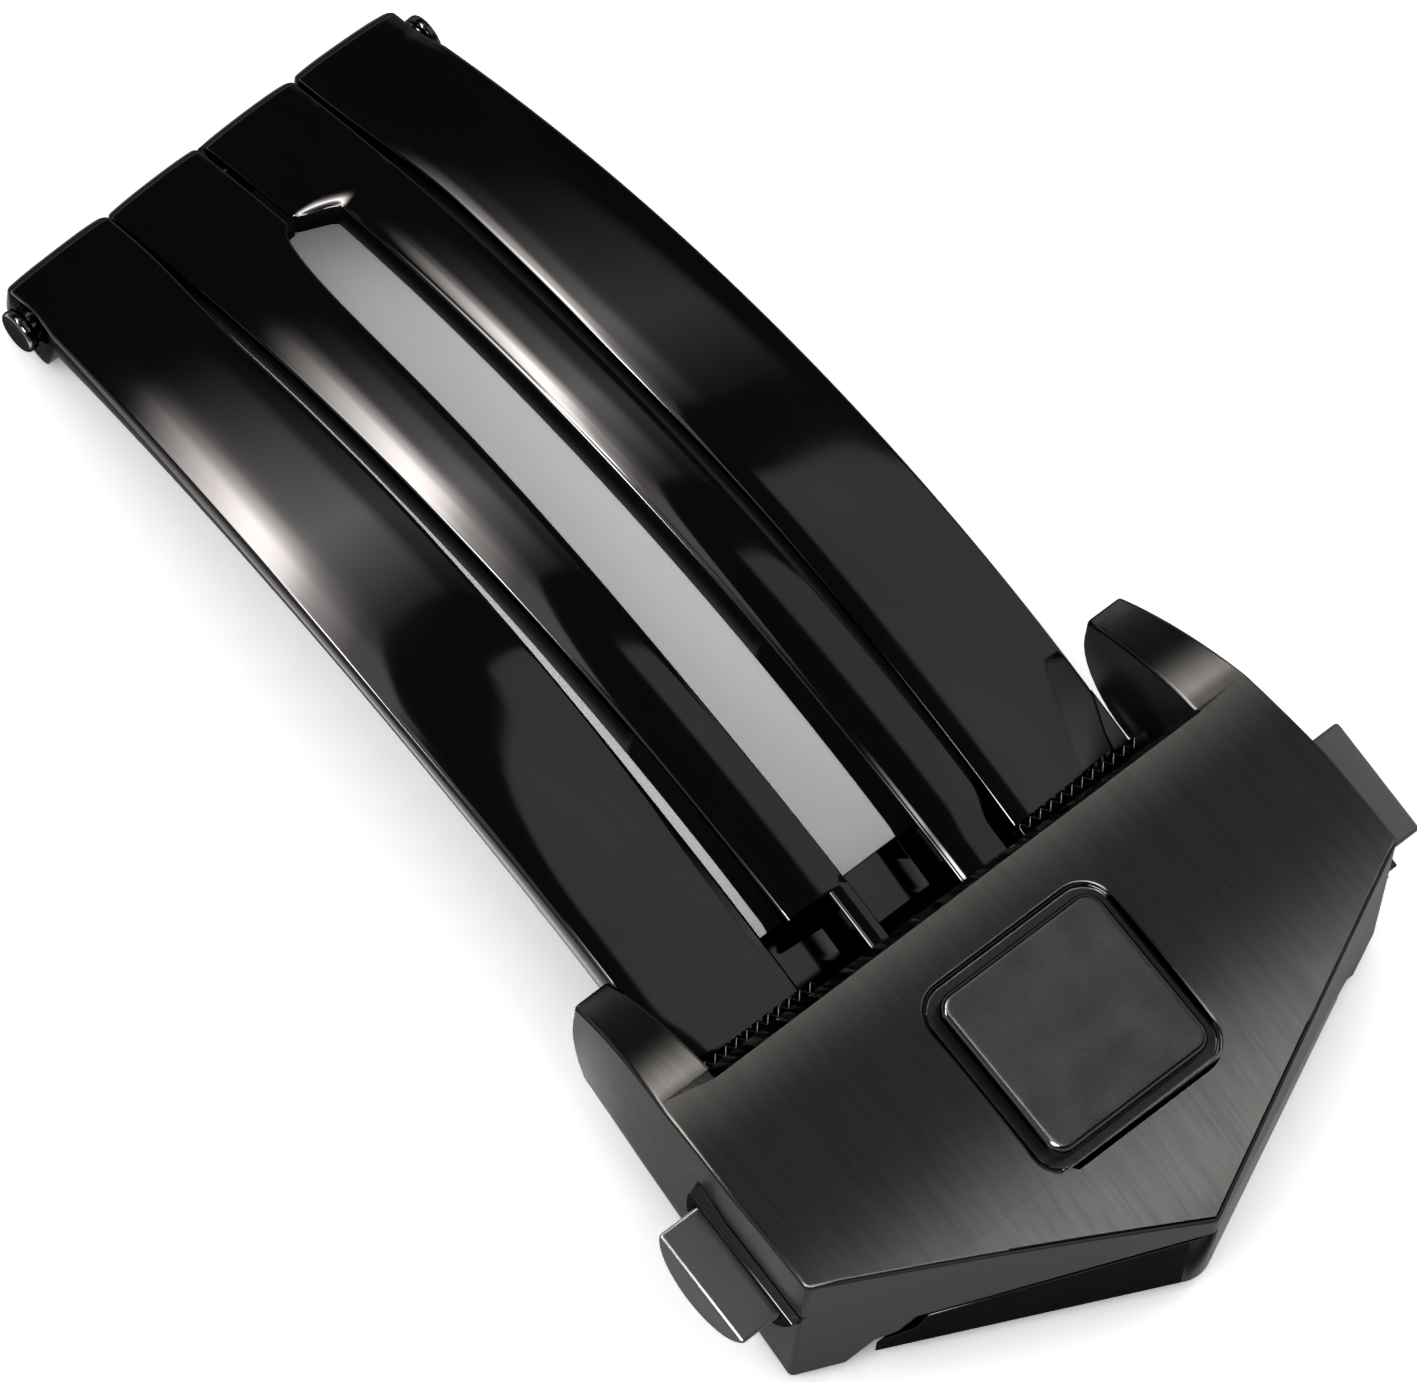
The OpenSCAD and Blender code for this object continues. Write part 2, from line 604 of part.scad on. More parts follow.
// Toothed flap that swings up against the strap
flap_px = blade_len + flap_pin_x;
flap_pz = blade_z(bed_end) + 0.2;
flap_slope = atan((blade_z(blade_len) - blade_z(bed_end)) / (bed_end - blade_len));
flap_lift = 0.1;
flap_y = mouth_y - side_gap;
module flap_outline() {
    reach = flap_pin_x / cos(flap_slope) + 0.05;
    half = flap_y - 0.2;
    teeth = floor(half / tooth_pitch);
    edge = [for (i = [-2 * teeth:2 * teeth]) [-reach + abs(i % 2) * tooth_depth, i * tooth_pitch / 2]];
    difference() {
        polygon(concat([[-flap_pin_r, -half], [-reach + tooth_depth, -half]], edge,
            [[-reach + tooth_depth, half], [-flap_pin_r, half]]));
        translate([-reach - 1, -notch_y]) square([reach + 1 - (flap_px - notch_end) / cos(flap_slope),
            2 * notch_y]);
    }
}
module clamp_flap() color(black) in_place() difference() {
    union() {
        translate([flap_px, 0, flap_pz]) rotate([0, flap_slope, 0])
            translate([0, 0, flap_low]) linear_extrude(height = flap_t) flap_outline();
        translate([flap_px, 0, flap_pz]) along_y(flap_y) circle(r = flap_knuckle_r);
    }
    clamp_pin_body(flap_pin_r + run_gap, 1);
}
flap_low = (blade_z(bed_end) + flap_lift - flap_pz + (bed_end - flap_px) * tan(flap_slope))
    * cos(flap_slope);

pin_bury = 0.7;
module clamp_pin_body(r, extra) translate([flap_px, 0, flap_pz]) along_y(mouth_y + pin_bury + extra)
    circle(r = r, $fn = 48);
module clamp_pin() color(steel) in_place() clamp_pin_body(flap_pin_r, 0);

// Catch plate: a curved front, a flat middle and a lip under the nose
plate_x = blade_len - plate_reach;
plate_y = mouth_y - side_gap;
lug_y = wall_y - side_gap;
flat_x = blade_len + flat_back;
lug_end = corner_x - skirt_t * nose_turn - side_gap;
bar_x = lug_end - 2 * bar_hole_r;
window_x = bar_x - 0.65;
lug_top = button_z - button_d - bush_wall - 0.3;
lug_in = post_in + post_t + 0.05;
lip_x = skirt_x - 0.46;
lip_top = lug_top;
lip_gap = 2 * side_gap;

module rivet_holes() frame_rivet(rivet_r + seat_gap, 1);
module frame_rivet(r, extra) {
    x = blade_len - 0.3;
    for (y = [-tail_in - tail_left_w / 2, tail_in + tail_right_w / 2 + 0.1])
        translate([x, y, blade_z(x) - blade_t - fold_gap - plate_t - extra])
            cylinder(r = r, h = plate_t + rivet_grip + extra, $fn = 48);
}
module frame_rivets() color(steel) in_place() frame_rivet(rivet_r, -0.15);

module lip_outline(inset) intersection() {
    apex = tip_x - inset * nose_pull;
    cover_outline(inset);
    union() {
        translate([0, -big]) square([apex - lip_r * (nose_pull - 1 / nose_pull) - 0.05, 2 * big]);
        translate([apex - lip_r * nose_pull, 0]) circle(r = lip_r);
    }
}

module lip_ring(inset) difference() {
    lip_outline(inset);
    cover_outline(skirt_t + lip_w);
}

module catch_plate() color(black) in_place() difference() {
    union() {
        intersection() {
            blade_band(blade_t + fold_gap, blade_t + fold_gap + plate_t);
            plan(0) translate([plate_x, -plate_y]) square([flat_x - plate_x, 2 * plate_y]);
        }
        translate([flat_x - 1.2, -plate_y, 0]) cube([bed_end + 0.4 - flat_x + 1.2, 2 * plate_y, plate_t]);
        translate([bed_end + 0.4, -lug_y, 0]) cube([window_x - bed_end - 0.4, 2 * lug_y, plate_t]);
        both() translate([window_x - 0.5, lug_in, 0]) cube([lug_end - window_x + 0.5, lug_y - lug_in, lug_top]);
        plan(lip_low, lip_top) intersection() {
            lip_ring(skirt_t + side_gap);
            translate([lug_end - 0.3, -big]) square([big, 2 * big]);
        }
        intersection() {
            plan() lip_ring(lip_inset);
            along_y(side_y) polygon(concat([[tip_x + 0.2, lip_low], [lip_x, lip_low],
                [lip_x, skirt_z - 1.42]], [for (i = [1:4]) skirt_edge[i] + [0.15, -lip_gap]]));
        }
    }
    both() translate([bar_x, 0, bar_z]) from_y(mouth_y - 1, lug_y + 1) circle(r = bar_hole_r);
    rivet_holes();
    both() translate([post_x + post_w / 2, post_in + post_t / 2, -1]) cylinder(r = rivet_r + seat_gap,
        h = big, $fn = 48);
}

inner_frame();
catch_plate();
catch_post_left();
catch_post_right();
frame_rivets();
hinge_pin();
outer_frame();
cover();
cover_dowels();
plaque();
latch_block();
button_bush_left();
button_bush_right();
clamp_pin();
clamp_flap();
button_left();
button_right();
latch_slide_left();
latch_slide_right();
latch_spring_left();
latch_spring_right();
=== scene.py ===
import math

import bmesh
import bpy
from mathutils import Matrix, Vector


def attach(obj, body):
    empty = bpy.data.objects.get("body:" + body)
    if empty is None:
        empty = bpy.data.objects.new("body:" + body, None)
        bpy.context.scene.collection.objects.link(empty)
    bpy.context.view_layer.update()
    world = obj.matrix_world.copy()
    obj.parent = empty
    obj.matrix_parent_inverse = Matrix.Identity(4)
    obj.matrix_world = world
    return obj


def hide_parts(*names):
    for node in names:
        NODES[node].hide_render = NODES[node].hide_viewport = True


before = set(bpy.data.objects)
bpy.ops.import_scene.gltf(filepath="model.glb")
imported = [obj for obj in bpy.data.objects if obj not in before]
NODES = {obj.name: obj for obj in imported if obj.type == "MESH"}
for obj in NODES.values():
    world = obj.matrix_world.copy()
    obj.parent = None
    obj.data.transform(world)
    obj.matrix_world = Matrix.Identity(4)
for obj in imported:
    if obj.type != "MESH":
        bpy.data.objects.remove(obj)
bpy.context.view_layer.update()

# Shapes are written in millimetres, with x from the hinge end. The frame is in metres from the middle.
MM = 0.001
MID_X = 22.875


def in_part(co):
    return co / MM + Vector((MID_X, 0, 0))


# Materials

def principled(name):
    mat = bpy.data.materials.new(name)
    mat.use_nodes = True
    tree = mat.node_tree
    tree.nodes.clear()
    out = tree.nodes.new("ShaderNodeOutputMaterial")
    shader = tree.nodes.new("ShaderNodeBsdfPrincipled")
    tree.links.new(shader.outputs["BSDF"], out.inputs["Surface"])
    return mat, tree, shader


def noise(tree, scale, stretch=(1, 1, 1), detail=4.0, rough=0.55):
    coord = tree.nodes.new("ShaderNodeTexCoord")
    mapping = tree.nodes.new("ShaderNodeMapping")
    mapping.inputs["Scale"].default_value = stretch
    tree.links.new(coord.outputs["Object"], mapping.inputs["Vector"])
    tex = tree.nodes.new("ShaderNodeTexNoise")
    tex.inputs["Scale"].default_value = scale
    tex.inputs["Detail"].default_value = detail
    tex.inputs["Roughness"].default_value = rough
    tree.links.new(mapping.outputs["Vector"], tex.inputs["Vector"])
    return tex.outputs["Fac"]


def remap(tree, value, low, high, from_low=0.3, from_high=0.7):
    node = tree.nodes.new("ShaderNodeMapRange")
    node.inputs["From Min"].default_value = from_low
    node.inputs["From Max"].default_value = from_high
    node.inputs["To Min"].default_value = low
    node.inputs["To Max"].default_value = high
    tree.links.new(value, node.inputs["Value"])
    return node.outputs["Result"]


def reckon(tree, operation, a, b, clamp=False):
    node = tree.nodes.new("ShaderNodeMath")
    node.operation = operation
    node.use_clamp = clamp
    for socket, value in zip(node.inputs, (a, b)):
        if isinstance(value, (int, float)):
            socket.default_value = value
        else:
            tree.links.new(value, socket)
    return node.outputs["Value"]


def add(tree, a, b):
    return reckon(tree, "ADD", a, b)


def tint(tree, value, dark, light, socket):
    ramp = tree.nodes.new("ShaderNodeMixRGB")
    ramp.inputs["Color1"].default_value = (*dark, 1)
    ramp.inputs["Color2"].default_value = (*light, 1)
    tree.links.new(value, ramp.inputs["Fac"])
    tree.links.new(ramp.outputs["Color"], socket)


def bump(tree, shader, height, strength, distance):
    node = tree.nodes.new("ShaderNodeBump")
    node.inputs["Strength"].default_value = strength
    node.inputs["Distance"].default_value = distance * MM
    tree.links.new(height, node.inputs["Height"])
    tree.links.new(node.outputs["Normal"], shader.inputs["Normal"])


def polished(name, color=(0.034, 0.033, 0.034), rough=0.055, smudge=0.05, edge=0.4):
    mat, tree, shader = principled(name)
    shader.inputs["Metallic"].default_value = 1.0
    shader.inputs["Specular Tint"].default_value = (edge, edge, edge, 1)
    wipe = remap(tree, noise(tree, 260, (0.35, 1, 1), 3), 0, 1, 0.35, 0.75)
    tint(tree, wipe, color, tuple(c * 1.25 for c in color), shader.inputs["Base Color"])
    fine = remap(tree, noise(tree, 2600, (0.25, 1, 1), 2), 0, 0.012)
    tree.links.new(add(tree, remap(tree, noise(tree, 210, (0.5, 1, 1), 5), rough, rough + smudge, 0.45, 0.75), fine),
                   shader.inputs["Roughness"])
    bump(tree, shader, noise(tree, 320, (0.4, 1, 1), 2), 0.05, 0.004)
    return mat


def brushed(name, color, rough, along=(0.06, 1, 0.06), fine=11000, strength=0.07, spread=0.12):
    mat, tree, shader = principled(name)
    shader.inputs["Metallic"].default_value = 1.0
    shader.inputs["Anisotropic"].default_value = 1.0
    lines = noise(tree, fine, along, 3, 0.6)
    broad = noise(tree, 3600, along, 3, 0.6)
    tint(tree, remap(tree, add(tree, lines, broad), 0, 1, 0.6, 1.4), tuple(c * 0.82 for c in color),
         tuple(c * 1.2 for c in color), shader.inputs["Base Color"])
    tree.links.new(remap(tree, lines, rough, rough + spread), shader.inputs["Roughness"])
    bump(tree, shader, lines, strength, 0.006)
    axis = tree.nodes.new("ShaderNodeCombineXYZ")
    axis.inputs[1 if along[0] < 1 else 0].default_value = 1.0
    turn = tree.nodes.new("ShaderNodeVectorTransform")
    turn.vector_type = "VECTOR"
    turn.convert_from = "OBJECT"
    turn.convert_to = "WORLD"
    tree.links.new(axis.outputs["Vector"], turn.inputs["Vector"])
    tree.links.new(turn.outputs["Vector"], shader.inputs["Tangent"])
    return mat


def blasted(name, color, rough, grain=9000, strength=0.35):
    mat, tree, shader = principled(name)
    shader.inputs["Metallic"].default_value = 1.0
    speck = noise(tree, grain, (1, 1, 1), 2, 0.7)
    cloud = noise(tree, 900, (1, 1, 1), 4)
    tint(tree, remap(tree, add(tree, speck, cloud), 0, 1, 0.75, 1.25), tuple(c * 0.85 for c in color),
         tuple(c * 1.18 for c in color), shader.inputs["Base Color"])
    tree.links.new(remap(tree, cloud, rough, rough + 0.05), shader.inputs["Roughness"])
    bump(tree, shader, speck, strength, 0.006)
    return mat


BLACK = polished("polished_black")
RIM = polished("polished_edge", (0.05, 0.049, 0.048), 0.09, 0.05)
TOP = brushed("brushed_black", (0.04, 0.0395, 0.039), 0.28, spread=0.03)
SIDE = blasted("blasted_black", (0.04, 0.04, 0.042), 0.42)
FACE = blasted("matte_black", (0.05, 0.05, 0.051), 0.42, 14000, 0.2)
STUD = polished("satin_button", (0.115, 0.115, 0.115), 0.34, 0.08, 0.8)
STEEL = blasted("turned_steel", (0.42, 0.42, 0.43), 0.22, 9000, 0.1)
WIRE = polished("spring_wire", (0.5, 0.49, 0.47), 0.16, 0.08)


# Mesh building in millimetres from the hinge end, written to metres in the shared frame

def make(name, verts, faces, body, node, material, sharp=35):
    mesh = bpy.data.meshes.new(name)
    mesh.from_pydata([((x - MID_X) * MM, y * MM, z * MM) for x, y, z in verts], [], faces)
    mesh.validate()
    return finish_mesh(name, mesh, body, node, [material], sharp)


def finish_mesh(name, mesh, body, node, materials, sharp):
    bm = bmesh.new()
    bm.from_mesh(mesh)
    bmesh.ops.recalc_face_normals(bm, faces=bm.faces)
    bm.to_mesh(mesh)
    bm.free()
    for material in materials:
        mesh.materials.append(material)
    for poly in mesh.polygons:
        poly.use_smooth = True
    mesh.set_sharp_from_angle(angle=math.radians(sharp))
    piece = bpy.data.objects.new(name, mesh)
    bpy.context.scene.collection.objects.link(piece)
    weighted = piece.modifiers.new("normals", "WEIGHTED_NORMAL")
    weighted.keep_sharp = True
    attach(piece, body)
    if node:
        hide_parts(node)
    return piece


def arc(cx, cy, r, start, end, steps):
    return [(cx + r * math.cos(math.radians(start + (end - start) * i / steps)),
             cy + r * math.sin(math.radians(start + (end - start) * i / steps))) for i in range(steps + 1)]


def loft(verts, faces, stations, low, high, top, bottom, radius=0.13, sag=0.1, roll=0.05, drop=None,
         across=16, steps=4, lean=0.0, power=5):
    """Closed body of rounded cross-sections, one at each station along x."""
    rings = []
    for x in stations:
        lo, hi, zt, zb = low(x), high(x), top(x), bottom(x)
        half = (hi - lo) / 2
        r = min(radius, 0.42 * (zt - zb), 0.42 * half)
        scale = min(1.0, half / 1.7)
        tilt = lean(x) if callable(lean) else lean
        ring = []
        for j in range(across + 1):
            u = -math.cos(math.pi * j / across) if j % across else (1 if j else -1)
            y = lo + half + u * (half - r)
            z = zt - scale * (sag * u * u + roll * abs(u) ** power)
            z -= half * (0.05 + tilt * u) if tilt else 0
            if drop:
                z -= drop(x, y)
            ring.append((y, z))
        right_z, left_z = ring[-1][1], ring[0][1]
        points = ring[1:-1]
        points += arc(hi - r, right_z - r, r, 80, 0, steps)
        points += arc(hi - r * 0.5, zb + r * 0.5, r * 0.5, 0, -90, 2)
        points += arc(lo + r * 0.5, zb + r * 0.5, r * 0.5, -90, -180, 2)
        points += arc(lo + r, left_z - r, r, 180, 100, steps)
        rings.append([(x, y, z) for y, z in points])
    base, count = len(verts), len(rings[0])
    for ring in rings:
        verts.extend(ring)
    for i in range(len(rings) - 1):
        for j in range(count):
            k = (j + 1) % count
            faces.append((base + i * count + j, base + i * count + k, base + (i + 1) * count + k,
                          base + (i + 1) * count + j))
    faces.append(tuple(base + j for j in range(count)))
    faces.append(tuple(base + (len(rings) - 1) * count + j for j in reversed(range(count))))


def spread(*parts):
    out = []
    for start, end, count in parts:
        out += [start + (end - start) * i / count for i in range(count)]
    out.append(parts[-1][1])
    return out


# Blades: the outer rails with their bed, and the inner rails with their tails

KNUCKLE = 1.35
ARCH_X, BLADE_R, BLADE_CZ = 17.901, 46.2, -40.434
INNER_X, INNER_R, INNER_CZ = 19.699, 48.0, -41.654
RAIL_END, TAIL_END, BED_END = 32.4, 33.5, 34.53
FLARE_R = 323.25


def arch(x, cx, cz, r):
    return cz + math.sqrt(r * r - (x - cx) ** 2)


def knuckle_top(x, z):
    if x >= KNUCKLE:
        return z
    ring = KNUCKLE + math.sqrt(max(KNUCKLE ** 2 - (x - KNUCKLE) ** 2, 0))
    blend = 0.025
    h = max(0.0, min(1.0, 0.5 + 0.5 * (ring - z) / blend))
    return ring * (1 - h) + z * h - blend * h * (1 - h)


def under(x):
    if x < 2 * KNUCKLE - 0.01:
        return KNUCKLE - math.sqrt(max(KNUCKLE ** 2 - (x - KNUCKLE) ** 2, 0))
    return arch(x, ARCH_X, BLADE_CZ, BLADE_R - 1.3)


def rail_top(x):
    return knuckle_top(x, arch(x, ARCH_X, BLADE_CZ, BLADE_R))


def inner_top(x):
    return knuckle_top(x, arch(x, INNER_X, INNER_CZ, INNER_R))


def inner_under(x):
    return under(x) - (0.12 if x > 30.05 else 0)


def corner(x, r=0.45):
    return r - math.sqrt(max(r * r - (r - x) ** 2, 0)) if x < r else 0.0


def rail_outer(x):
    flare = 8.6 - FLARE_R + math.sqrt(FLARE_R ** 2 - (x - 28.398) ** 2)
    y = 7.35 + (flare - 7.35) * max(0, min(1, (x - 1.2) / 1.2))
    if x > 30.2:
        y = min(y, 8.7 - 0.52 * (x - 30.2) / 1.32 if x < 31.52 else 8.18 - 0.18 * (x - 31.52) / 0.88)
    return y - corner(x) - (0.12 if x > RAIL_END - 0.001 else 0)


def ease(x, start, end):
    t = max(0.0, min(1.0, (x - start) / (end - start)))
    return t * t * (3 - 2 * t)


def rail_inner(x):
    return 3.62 + 0.32 * ease(x, 1.2, 7) + 0.12 * ease(x, 12, 22) + corner(x)


def left_lean(x):
    return -0.075 + 0.125 * ease(x, 19, 27)


KNUCKLE_ANGLES = (9, 14, 20, 27, 34, 40, 44, 46, 47.5, 49, 51, 54, 60, 70, 80, 90)
start = [KNUCKLE * (1 - math.cos(math.radians(a))) for a in KNUCKLE_ANGLES]
along = start + spread((1.5, 2.68, 5), (2.7, 31.52, 90), (31.6, 32.3, 3), (32.36, RAIL_END, 1))

verts, faces = [], []
loft(verts, faces, along, rail_inner, rail_outer, rail_top, under, sag=0.05, roll=0.09, power=4, lean=0.05)
loft(verts, faces, along, lambda x: -rail_outer(x), lambda x: -rail_inner(x), rail_top, under, sag=0.03, roll=0.09,
     power=4, lean=left_lean)
bed = spread((RAIL_END - 0.1, BED_END, 6))
for side in (-1, 1):
    lo, hi = sorted((side * 3.9, side * 9.1))
    loft(verts, faces, bed, lambda x: lo, lambda x: hi, lambda x: rail_top(x) - 0.02, under, 0.08, 0, 0)
loft(verts, faces, spread((33.8, BED_END, 3)), lambda x: -4, lambda x: 4, lambda x: rail_top(x) - 0.03, under,
     0.06, 0, 0)
make("outer_blade", verts, faces, "top", "outer_frame", BLACK)


def slot_left(x):
    if x < 4.4:
        return -0.13
    return -(0.17 + 0.8 * math.sin(math.pi / 2 * math.sqrt(min(1, (x - 4.4) / 6))) + 0.38 * ease(x, 7, 27))


def slot_right(x):
    if x < 4.1:
        return 0.13
    return 0.17 + 1.23 * (1 - math.cos(math.pi * min(1, (x - 4.1) / 0.9))) / 2


def tail_left(x):
    return (-3.5 if x < 30.81 else -2.05) + corner(x)


def tail_right(x):
    if x < 30.8:
        return 3.5 - corner(x)
    return 3.5 - 0.35 * (1 - math.cos(math.pi * min(1, (x - 30.8) / 1.3))) / 2


def facet_left(x, y):
    return 0.04 * max(0, 1 - (slot_left(x) - y) / 0.2) * ease(x, 8, 12)


def facet_right(x, y):
    return 0.06 * max(0, 1 - (y - slot_right(x)) / 0.4) ** 2 * ease(x, 4.8, 6)


inner = start + spread((1.5, 2.68, 5), (2.7, 4.0, 8), (4.1, 5.2, 16), (5.3, 10.4, 30), (10.6, 30.7, 70),
                       (30.79, 30.83, 1), (30.9, 32.1, 8), (32.2, TAIL_END, 5))
verts, faces = [], []
loft(verts, faces, inner, tail_left, slot_left, inner_top, inner_under, drop=facet_left, across=26, radius=0.1,
     lean=-0.07)
loft(verts, faces, inner, slot_right, tail_right, inner_top, inner_under, drop=facet_right, across=26, radius=0.1,
     lean=-0.05)
loft(verts, faces, spread((2.6, 4.35, 8)), lambda x: -0.2, lambda x: 0.2, lambda x: inner_top(x) - 0.4,
     under, 0.05, 0, 0, across=4)
make("inner_blade", verts, faces, "base", "inner_frame", BLACK)


# The other pieces keep the CAD's own faces, with their edges rounded

def skin(node, body, materials, width=0.1, angle=28, segments=2, choose=None, sharp=40, merge=None):
    source = NODES[node]
    mesh = source.data.copy()
    mesh.name = node + "_finish"
    mesh.materials.clear()
    bm = bmesh.new()
    bm.from_mesh(mesh)
    bmesh.ops.remove_doubles(bm, verts=bm.verts, dist=1e-6)
    bmesh.ops.dissolve_limit(bm, angle_limit=math.radians(0.08), verts=bm.verts, edges=bm.edges)
    if merge:
        bmesh.ops.dissolve_edges(bm, edges=[e for e in bm.edges if merge(e)], use_verts=False)
    edges = [e for e in bm.edges if e.is_manifold and e.calc_face_angle(0) > math.radians(angle)]
    bmesh.ops.bevel(bm, geom=edges, offset=width * MM, offset_type="OFFSET", segments=segments,
                    profile=0.5, affect="EDGES", clamp_overlap=False)
    bmesh.ops.remove_doubles(bm, verts=bm.verts, dist=2e-6)
    if choose:
        for face in bm.faces:
            face.material_index = choose([in_part(v.co) for v in face.verts], face.normal)
    bm.to_mesh(mesh)
    bm.free()
    return finish_mesh(node + "_finish", mesh, body, node, materials, sharp)


# Centre and radius of the cover's crown, the jaws' ends, and how far off the crown a point may lie
CROWN_X, CROWN_R, CROWN_CZ = 35.3, 24.5, -16.966
JAW_END, NEAR = 11, 0.02
# Line across the crown that lies beside the front edge of the plaque's recess
RECESS_LINE = 42.208


def crowned(points):
    centre = sum(points, Vector()) / len(points)
    near = [p.x > JAW_END and abs(p.z - cover_z(p.x)) < NEAR for p in [*points, centre]]
    return near[-1] and sum(near) * 2 > len(near)


def cover_face(points, n):
    if crowned(points):
        return 0
    c = sum(points, Vector()) / len(points)
    sunk = max(p.z - cover_z(p.x) for p in points) < -0.1
    if abs(c.x - 39.05) < 3.4 and abs(c.y) < 3.42 and c.z > 5.5 and (n.z < 0.85 or sunk):
        return 2
    if n.z > 0.8 and c.z > 4.5:
        return 0
    return 2 if n.z > 0.15 and c.z > 4.5 else 1


def cover_z(x):
    return CROWN_CZ + math.sqrt(CROWN_R ** 2 - (x - CROWN_X) ** 2)


def on_crown(piece):
    """The normals at the cover's top follow its crown, whatever the shape of the faces there."""
    shape = piece.evaluated_get(bpy.context.evaluated_depsgraph_get()).to_mesh()
    normals = [tuple(corner.vector) for corner in shape.corner_normals]
    for poly in piece.data.polygons:
        points = [in_part(piece.data.vertices[i].co) for i in poly.vertices]
        for p, loop in zip(points, poly.loop_indices):
            up = Vector((p.x - CROWN_X, 0, p.z - CROWN_CZ)).normalized()
            if crowned(points) or (crowned([p]) and up.dot(Vector(normals[loop])) > 0.96):
                normals[loop] = tuple(up)
    piece.modifiers.clear()
    piece.data.normals_split_custom_set(normals)


def by_recess(edge):
    """The line across the crown that runs too close to the recess's front edge for its rounding."""
    return all(abs(v.co.x / MM + MID_X - RECESS_LINE) < 0.03 and v.co.z > 5.5 * MM for v in edge.verts)


def plaque_face(points, n):
    return 0 if n.z > 0.93 else 1


on_crown(skin("cover", "top", [TOP, SIDE, BLACK], 0.13, 30, choose=cover_face,
              merge=by_recess))
skin("plaque", "top", [FACE, RIM], 0.26, 30, 4, choose=plaque_face)
for side in ("left", "right"):
    skin("button_" + side, side + "_latch", [STUD], 0.14, 30, 3)
    skin("button_bush_" + side, "top", [BLACK], 0.05, 30, 2)
skin("catch_plate", "base", [BLACK], 0.08, 30)
skin("hinge_pin", "base", [RIM], 0.1, 30, 3)
skin("clamp_flap", "flap", [BLACK], 0.03, 30, 2)

plain = {"catch_post_left": STEEL, "catch_post_right": STEEL, "frame_rivets": RIM, "cover_dowels": STEEL,
         "latch_block": STEEL, "clamp_pin": STEEL, "latch_slide_left": STEEL, "latch_slide_right": STEEL,
         "latch_spring_left": WIRE, "latch_spring_right": WIRE}
for name, obj in NODES.items():
    obj.data.materials.clear()
    obj.data.materials.append(plain.get(name, BLACK))


# Floor. The camera sees it white. Gloss rays see painted light: a band of floor colour beside the left rail far
# brighter than the rest, which has no source in the photograph: it was tuned until the rail's outer wall matched it.

FLOOR_CAMERA, FLOOR_PLAIN, FLOOR_PAINTED_LIGHT = 1.95, 0.95, 11

floor_mesh = bpy.data.meshes.new("floor")
floor_mesh.from_pydata([(-3, -3, 0), (3, -3, 0), (3, 3, 0), (-3, 3, 0)], [], [(0, 1, 2, 3)])
paper, tree, shader = principled("paper")
shader.inputs["Roughness"].default_value = 0.9
shader.inputs["Specular IOR Level"].default_value = 0.0
path = tree.nodes.new("ShaderNodeLightPath")
where = tree.nodes.new("ShaderNodeTexCoord")
apart = tree.nodes.new("ShaderNodeSeparateXYZ")
tree.links.new(where.outputs["Object"], apart.inputs["Vector"])
# Mask of the band of painted light in the floor's colour beside the left rail
painted_light_mask = None
for axis, edges in (("Y", (-0.0109, -0.0105, 0, 1)), ("Y", (-0.0089, -0.0085, 1, 0)), ("X", (0.008, 0.0095, 1, 0))):
    step = remap(tree, apart.outputs[axis], edges[2], edges[3], edges[0], edges[1])
    painted_light_mask = reckon(tree, "MULTIPLY", painted_light_mask, step) if painted_light_mask else step
# Gloss rays see the plain floor colour, or the painted light where the band's mask is set
glossy = tree.nodes.new("ShaderNodeMixRGB")
glossy.inputs["Color1"].default_value = (*[FLOOR_PLAIN] * 3, 1)
glossy.inputs["Color2"].default_value = (*[FLOOR_PAINTED_LIGHT] * 3, 1)
tree.links.new(reckon(tree, "MULTIPLY", painted_light_mask, path.outputs["Is Glossy Ray"]), glossy.inputs["Fac"])
shown = tree.nodes.new("ShaderNodeMixRGB")
shown.inputs["Color2"].default_value = (*[FLOOR_CAMERA] * 3, 1)
tree.links.new(path.outputs["Is Camera Ray"], shown.inputs["Fac"])
tree.links.new(glossy.outputs["Color"], shown.inputs["Color1"])
tree.links.new(shown.outputs["Color"], shader.inputs["Base Color"])
floor_mesh.materials.append(paper)
floor = bpy.data.objects.new("floor", floor_mesh)
bpy.context.scene.collection.objects.link(floor)


# Camera

right = Vector((0.6455, 0.7604, 0.0710))
up = Vector((-0.7141, 0.5680, 0.4092))
back = Vector((0.2708, -0.3148, 0.9096))
target = Vector((0.000425, 0, 0.0031))
cam_data = bpy.data.cameras.new("camera")
cam_data.sensor_width = 36
cam_data.lens = 524.4
cam_data.clip_start = 0.01
cam_data.clip_end = 10
cam = bpy.data.objects.new("camera", cam_data)
bpy.context.scene.collection.objects.link(cam)
cam.matrix_world = Matrix.Translation(target + back * 0.6) @ Matrix((right, up, back)).transposed().to_4x4()
bpy.context.scene.camera = cam


# World. Diffuse rays get a plain fill. Gloss rays see strong panels and a window in the dark, placed so
# that the reflections at rest fall as in the photograph. The metal's bright parts come from these.

FILL, PANEL, STRIP, CEILING, GROUND, BASE = 0.6, 66.0, 62.0, 0.8, 0.95, 0.08

world = bpy.data.worlds.new("world")
bpy.context.scene.world = world
world.use_nodes = True
wt = world.node_tree
wt.nodes.clear()
wout = wt.nodes.new("ShaderNodeOutputWorld")


def wmath(operation, a, b, clamp=False):
    return reckon(wt, operation, a, b, clamp)


def smooth(value, low, high):
    node = wt.nodes.new("ShaderNodeMapRange")
    node.interpolation_type = "SMOOTHSTEP"
    node.inputs["From Min"].default_value = low
    node.inputs["From Max"].default_value = high
    wt.links.new(value, node.inputs["Value"])
    return node.outputs["Result"]


